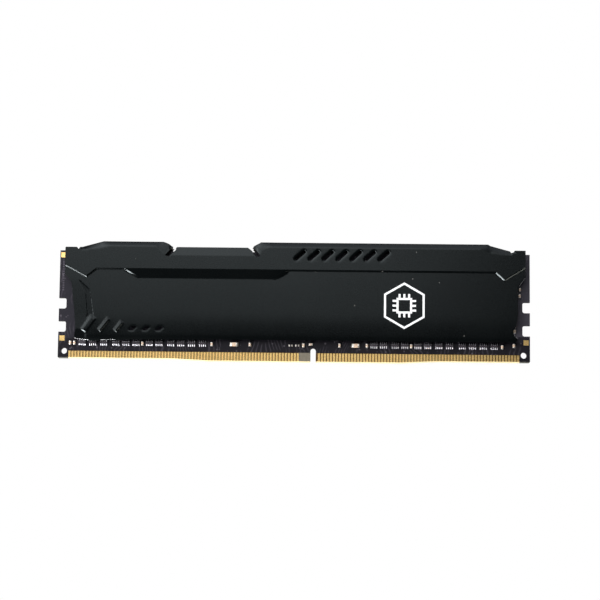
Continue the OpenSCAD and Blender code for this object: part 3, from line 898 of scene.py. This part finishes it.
def thicken(mesh):
    """Gives the sheet its thickness, with a sharp cut edge all round that shows bare metal in places."""
    mesh.normal_update()
    front_faces = list(mesh.faces)
    worn = worn_faces(front_faces)
    sharpen_step(mesh)
    boundary = [e for e in mesh.edges if e.is_boundary]
    behind = {v: mesh.verts.new(v.co - v.normal * SHEET) for v in list(mesh.verts)}
    for vertex in behind.values():
        vertex.co.y = min(vertex.co.y, -MEETING_GAP)
    rims = []
    for edge in boundary:
        loop = edge.link_loops[0]
        a = loop.vert
        b = loop.link_loop_next.vert
        rims.append(mesh.faces.new([b, a, behind[a], behind[b]]))
    for face, bare in zip(front_faces, worn):
        face.smooth = True
        face.material_index = BARE_SLOT if bare else PAINTED_SLOT
        mesh.faces.new([behind[v] for v in reversed(face.verts)]).smooth = True
    for rim in rims:
        rim.smooth = False
        middle = rim.calc_center_median()
        bare = is_unpainted(middle.x + BOARD_MIDDLE, middle.z)
        rim.material_index = BARE_SLOT if bare else PAINTED_SLOT
        for edge in rim.edges:
            edge.smooth = False


def build_shell(name, mirrored):
    """Front shell, or its mirror image for the rear of the board."""
    mesh = sheet_mesh()
    fold_flanges(mesh)
    thicken(mesh)
    if mirrored:
        bmesh.ops.scale(mesh, vec=(1, -1, 1), verts=mesh.verts)
        bmesh.ops.reverse_faces(mesh, faces=mesh.faces)
    shell = mesh_object(mesh, name, PAINT, RAW_EDGE)
    weighted = shell.modifiers.new("even_shading", "WEIGHTED_NORMAL")
    weighted.keep_sharp = True
    return shell


def make_shells():
    front = build_shell("front_shell", mirrored=False)
    rear = build_shell("rear_shell", mirrored=True)
    for shell, node in ((front, "front_heat_spreader"), (rear, "rear_heat_spreader")):
        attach(shell, "root")
        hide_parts(node)


# ---------------------------------------------------------------- small soldered parts
ARRAY_PLACES = [
    6.9, 9.9, 13.05, 16.5, 19.3, 22.2, 25.9, 28.7, 32.05, 34.85, 37.9, 41,
    89.4, 92.1, 95.4, 98.1, 101.8, 104.6, 107.7, 110.7, 114.3, 117.2, 120.2, 123.3,
]
ARRAY_Z = 5.04
ARRAY_BODY = (2.05, 0.45, 0.86)
ARRAY_PITCH = 0.55
ARRAY_JOINT = {"width": 0.24, "reach": 0.48, "height": 0.46, "wrap": 0.12, "start": ARRAY_BODY[2] / 2}
ROW_Z = 4.88
UPRIGHT_CAPACITORS = [
    (3.5, ROW_Z), (4.7, ROW_Z), (24, ROW_Z), (43.6, ROW_Z), (54.4, ROW_Z), (69.5, 4.8), (79.7, ROW_Z),
    (87.4, ROW_Z), (99.9, ROW_Z), (125.5, ROW_Z), (128.8, 5.3), (130.45, 21.2), (130.45, 19.4),
    (129.05, 10.8), (129.05, 9.4),
]
LEVEL_CAPACITORS = [(71.6, 5.1)]
LARGE_CAPACITORS = [(49.9, ROW_Z), (84.3, ROW_Z)]
CHIP_RESISTORS = [(65.9, 4.75), (67.75, 4.75)]
# Length, width and thickness of parts with two soldered ends
SMALL_CAPACITOR_SIZE = (1.15, 0.6, 0.55)
LARGE_CAPACITOR_SIZE = (2.25, 1.05, 0.8)
CHIP_RESISTOR_SIZE = (1.1, 0.5, 0.35)
# Shares of such a part's length: its bare middle, where its joints start, and their reach and wrap
BODY_SHARE = 0.52
JOINT_START_SHARE = 0.42
JOINT_REACH_SHARE = 0.1
JOINT_WRAP_SHARE = 0.2
JOINT_EXTRA_HEIGHT = 0.03
JOINT_EXTRA_WIDTH = 1.06
# Solder joint: rounding of its shoulder, its hollow fillet, and its height at places across its width
JOINT_ROUND = 0.02
FILLET_START = 0.04
FILLET_FOOT = 0.03
FILLET_SHARE = 0.86
FILLET_STEPS = 6
JOINT_SECTIONS = ((-0.5, 0.72), (-0.36, 0.95), (0.0, 1.0), (0.36, 0.95), (0.5, 0.72))
SHARP_ANGLE = math.radians(50)


def place(mesh_vertices, middle, angle):
    """Turns vertices about the line of sight and moves them to a place on the board's front face."""
    turn = Matrix.Rotation(angle, 4, "Y")
    shift = Matrix.Translation((middle[0] - BOARD_MIDDLE, -BOARD_HALF, middle[1]))
    for vertex in mesh_vertices:
        vertex.co = shift @ turn @ vertex.co


def soft_block(mesh, size, middle, angle, bevel=0.05):
    """Box on the board with rounded edges: length along X, thickness towards the front."""
    made = bmesh.ops.create_cube(mesh, size=1.0)["verts"]
    for vertex in made:
        vertex.co = Vector((vertex.co.x * size[0], (vertex.co.y - 0.5) * size[1], vertex.co.z * size[2]))
    edges = list({e for v in made for e in v.link_edges})
    result = bmesh.ops.bevel(mesh, geom=edges, offset=bevel, segments=3, profile=0.6, affect="EDGES")
    vertices = list({v for f in result["faces"] for v in f.verts})
    place(vertices, middle, angle)


def joint_profile(reach, height, wrap):
    """Side view of a soldered end: over the part's top, round its shoulder, down a hollow fillet."""
    profile = [(-wrap, height), (-3 * JOINT_ROUND, height + JOINT_ROUND), (JOINT_ROUND, height - JOINT_ROUND)]
    for k in range(1, FILLET_STEPS + 1):
        t = k / FILLET_STEPS
        out = FILLET_START + (reach - FILLET_START) * t
        up = FILLET_FOOT + (height * FILLET_SHARE - FILLET_FOOT) * (1 - t) ** 2.0
        profile.append((out, up))
    return profile + [(reach, 0.0), (-wrap, 0.0)]


def solder_joint(mesh, middle, angle, width, reach, height, wrap, start, sideways=0.0, side=1):
    """Plated end of a part with its fillet of solder, running out from the part's end along X."""
    profile = joint_profile(reach, height, wrap)
    layers = []
    for across, share in JOINT_SECTIONS:
        z = sideways + across * width
        layers.append([mesh.verts.new((side * (start + out), -up * share, z)) for out, up in profile])
    faces = []
    count = len(profile)
    for near, far in zip(layers, layers[1:]):
        for i in range(count):
            j = (i + 1) % count
            faces.append(mesh.faces.new([near[i], near[j], far[j], far[i]]))
    faces.append(mesh.faces.new(layers[0][::-1]))
    faces.append(mesh.faces.new(layers[-1]))
    bmesh.ops.recalc_face_normals(mesh, faces=faces)
    place([v for layer in layers for v in layer], middle, angle)


def finish_piece(mesh, name, material, node):
    """Turns a mesh into a smooth piece that stands for a CAD node."""
    for face in mesh.faces:
        face.smooth = True
    for edge in mesh.edges:
        edge.smooth = len(edge.link_faces) == 2 and edge.calc_face_angle() < SHARP_ANGLE
    piece = mesh_object(mesh, name, material)
    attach(piece, "root")
    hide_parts(node)


def make_resistor_arrays():
    """Blocks with four soldered ends above and four below."""
    bodies = bmesh.new()
    joints = bmesh.new()
    for x in ARRAY_PLACES:
        soft_block(bodies, ARRAY_BODY, (x, ARRAY_Z), 0.0)
        for angle in (math.pi / 2, -math.pi / 2):
            for i in (-1.5, -0.5, 0.5, 1.5):
                solder_joint(joints, (x, ARRAY_Z), angle, sideways=i * ARRAY_PITCH, **ARRAY_JOINT)
    finish_piece(bodies, "resistor_arrays", RESISTOR, "resistor_array_bodies")
    finish_piece(joints, "resistor_array_joints", SOLDER, "resistor_array_terminals")


def make_two_ended(name, nodes, places, size, material):
    """Bodies and soldered ends of parts with two terminals; each place is (x, z, angle)."""
    length, width, thickness = size
    joint = {
        "width": width * JOINT_EXTRA_WIDTH, "reach": length * JOINT_REACH_SHARE,
        "height": thickness + JOINT_EXTRA_HEIGHT, "wrap": length * JOINT_WRAP_SHARE,
        "start": length * JOINT_START_SHARE,
    }
    bodies = bmesh.new()
    joints = bmesh.new()
    for x, z, angle in places:
        soft_block(bodies, (length * BODY_SHARE, thickness, width), (x, z), angle, bevel=0.04)
        for side in (-1, 1):
            solder_joint(joints, (x, z), angle, side=side, **joint)
    finish_piece(bodies, name, material, nodes[0])
    # Their joints take the solder that is lightened as painted light
    finish_piece(joints, name + "_joints", TINNED_WITH_PAINTED_LIGHT, nodes[1])


def level(places):
    return [(x, z, 0.0) for x, z in places]


def upright(places):
    return [(x, z, math.pi / 2) for x, z in places]


def make_small_parts():
    make_resistor_arrays()
    make_two_ended("small_capacitors", ("small_capacitor_bodies", "small_capacitor_terminals"),
                   upright(UPRIGHT_CAPACITORS) + level(LEVEL_CAPACITORS), SMALL_CAPACITOR_SIZE,
                   CAPACITOR)
    make_two_ended("large_capacitors", ("large_capacitor_bodies", "large_capacitor_terminals"),
                   level(LARGE_CAPACITORS), LARGE_CAPACITOR_SIZE, CAPACITOR)
    make_two_ended("chip_resistors", ("chip_resistor_bodies", "chip_resistor_terminals"),
                   level(CHIP_RESISTORS), CHIP_RESISTOR_SIZE, RESISTOR)


# ---------------------------------------------------------------- floor, light and surroundings, in metres
FLOOR_HALF = 1.5
# Squared distances from the middle, in square metres, over which the floor's painted glow rises to full
FLOOR_GLOW_RANGE = (0.02, 0.12)
ROOM_LIGHT = 0.08
AIM = Vector((0, 0, 0.017))


def floor_material():
    """Pale grey floor with a painted glow that makes it, far from the module, as white as the background;
    clear from below.
    """
    n = Nodes("floor")
    tone = n.noise(40, 2.0)
    n.set(Base_Color=n.blend(tone, (0.8, 0.8, 0.8), (0.84, 0.84, 0.84)))
    n.set(Roughness=0.8, Specular_IOR_Level=0.1)
    x = n.axis("X")
    y = n.axis("Y")
    squared_distance = n.math("ADD", n.math("MULTIPLY", x, x), n.math("MULTIPLY", y, y))
    # Painted glow: the floor emits white, more with distance from the module
    n.set(Emission_Color=rgba((1, 1, 1)), Emission_Strength=n.remap(squared_distance, *FLOOR_GLOW_RANGE))
    clear = n.add("ShaderNodeBsdfTransparent")
    one_sided = n.add("ShaderNodeMixShader")
    n.link(n.add("ShaderNodeNewGeometry").outputs["Backfacing"], one_sided.inputs[0])
    n.link(n.shader.outputs["BSDF"], one_sided.inputs[1])
    n.link(clear.outputs[0], one_sided.inputs[2])
    n.link(one_sided.outputs[0], n.output.inputs["Surface"])
    return n.material


def make_floor():
    """Pale floor that shows only from above, so a camera under its level still sees the module."""
    corners = [(x * FLOOR_HALF, y * FLOOR_HALF, cad_low.z) for x, y in ((-1, -1), (1, -1), (1, 1), (-1, 1))]
    data = bpy.data.meshes.new("floor")
    data.from_pydata(corners, [], [(0, 1, 2, 3)])
    floor = bpy.data.objects.new("floor", data)
    bpy.context.scene.collection.objects.link(floor)
    data.materials.append(floor_material())
    floor.visible_glossy = False
    floor.visible_diffuse = False
    floor.visible_shadow = False


def make_light(name, place_at, size, radiance, colour=(1, 1, 1)):
    """Softbox of a given size and brightness, aimed at the module."""
    data = bpy.data.lights.new(name, "AREA")
    data.shape = "RECTANGLE"
    data.size = size[0]
    data.size_y = size[1]
    data.energy = radiance * math.pi * size[0] * size[1]
    data.color = colour
    light = bpy.data.objects.new(name, data)
    bpy.context.scene.collection.objects.link(light)
    light.location = place_at
    light.rotation_euler = (AIM - Vector(place_at)).to_track_quat("-Z", "Y").to_euler()
    light.visible_camera = False


def make_world():
    """White behind the object, and a dim even light from all round."""
    world = bpy.data.worlds.new("studio")
    bpy.context.scene.world = world
    world.use_nodes = True
    tree = world.node_tree
    tree.nodes.clear()
    output = tree.nodes.new("ShaderNodeOutputWorld")
    white = tree.nodes.new("ShaderNodeBackground")
    white.inputs["Color"].default_value = (1, 1, 1, 1)
    white.inputs["Strength"].default_value = 1.0
    dim = tree.nodes.new("ShaderNodeBackground")
    dim.inputs["Color"].default_value = (0.9, 0.95, 1, 1)
    dim.inputs["Strength"].default_value = ROOM_LIGHT
    mix = tree.nodes.new("ShaderNodeMixShader")
    path = tree.nodes.new("ShaderNodeLightPath")
    tree.links.new(path.outputs["Is Camera Ray"], mix.inputs[0])
    tree.links.new(dim.outputs[0], mix.inputs[1])
    tree.links.new(white.outputs[0], mix.inputs[2])
    tree.links.new(mix.outputs[0], output.inputs["Surface"])


def make_lights():
    make_light("front", (-0.165, -0.381, 0.297), (0.675, 0.53), 2.8)
    make_light("left", (-0.5, -0.13, 0.07), (0.44, 0.4), 6.5)
    make_light("upper_left", (-0.33, -0.12, 0.38), (0.3, 0.16), 3.0)
    make_light("low_left", (-0.33, -0.08, -0.44), (0.33, 0.14), 60.0)
    make_light("low_right", (0.43, -0.03, -0.39), (0.08, 0.08), 22.0, (1.0, 0.97, 0.85))
    make_light("top", (0.02, -0.2, 0.57), (0.8, 0.3), 1.6, (0.93, 0.94, 1.0))
    make_light("rear", (0.149, 0.387, 0.297), (0.675, 0.53), 3.0)
    make_light("rear_low", (0.376, 0.376, -0.142), (0.6, 0.45), 1.6)


bpy.context.scene.view_settings.view_transform = "Standard"
make_camera()
dress_cad_nodes()
make_shells()
make_small_parts()
make_floor()
make_world()
make_lights()
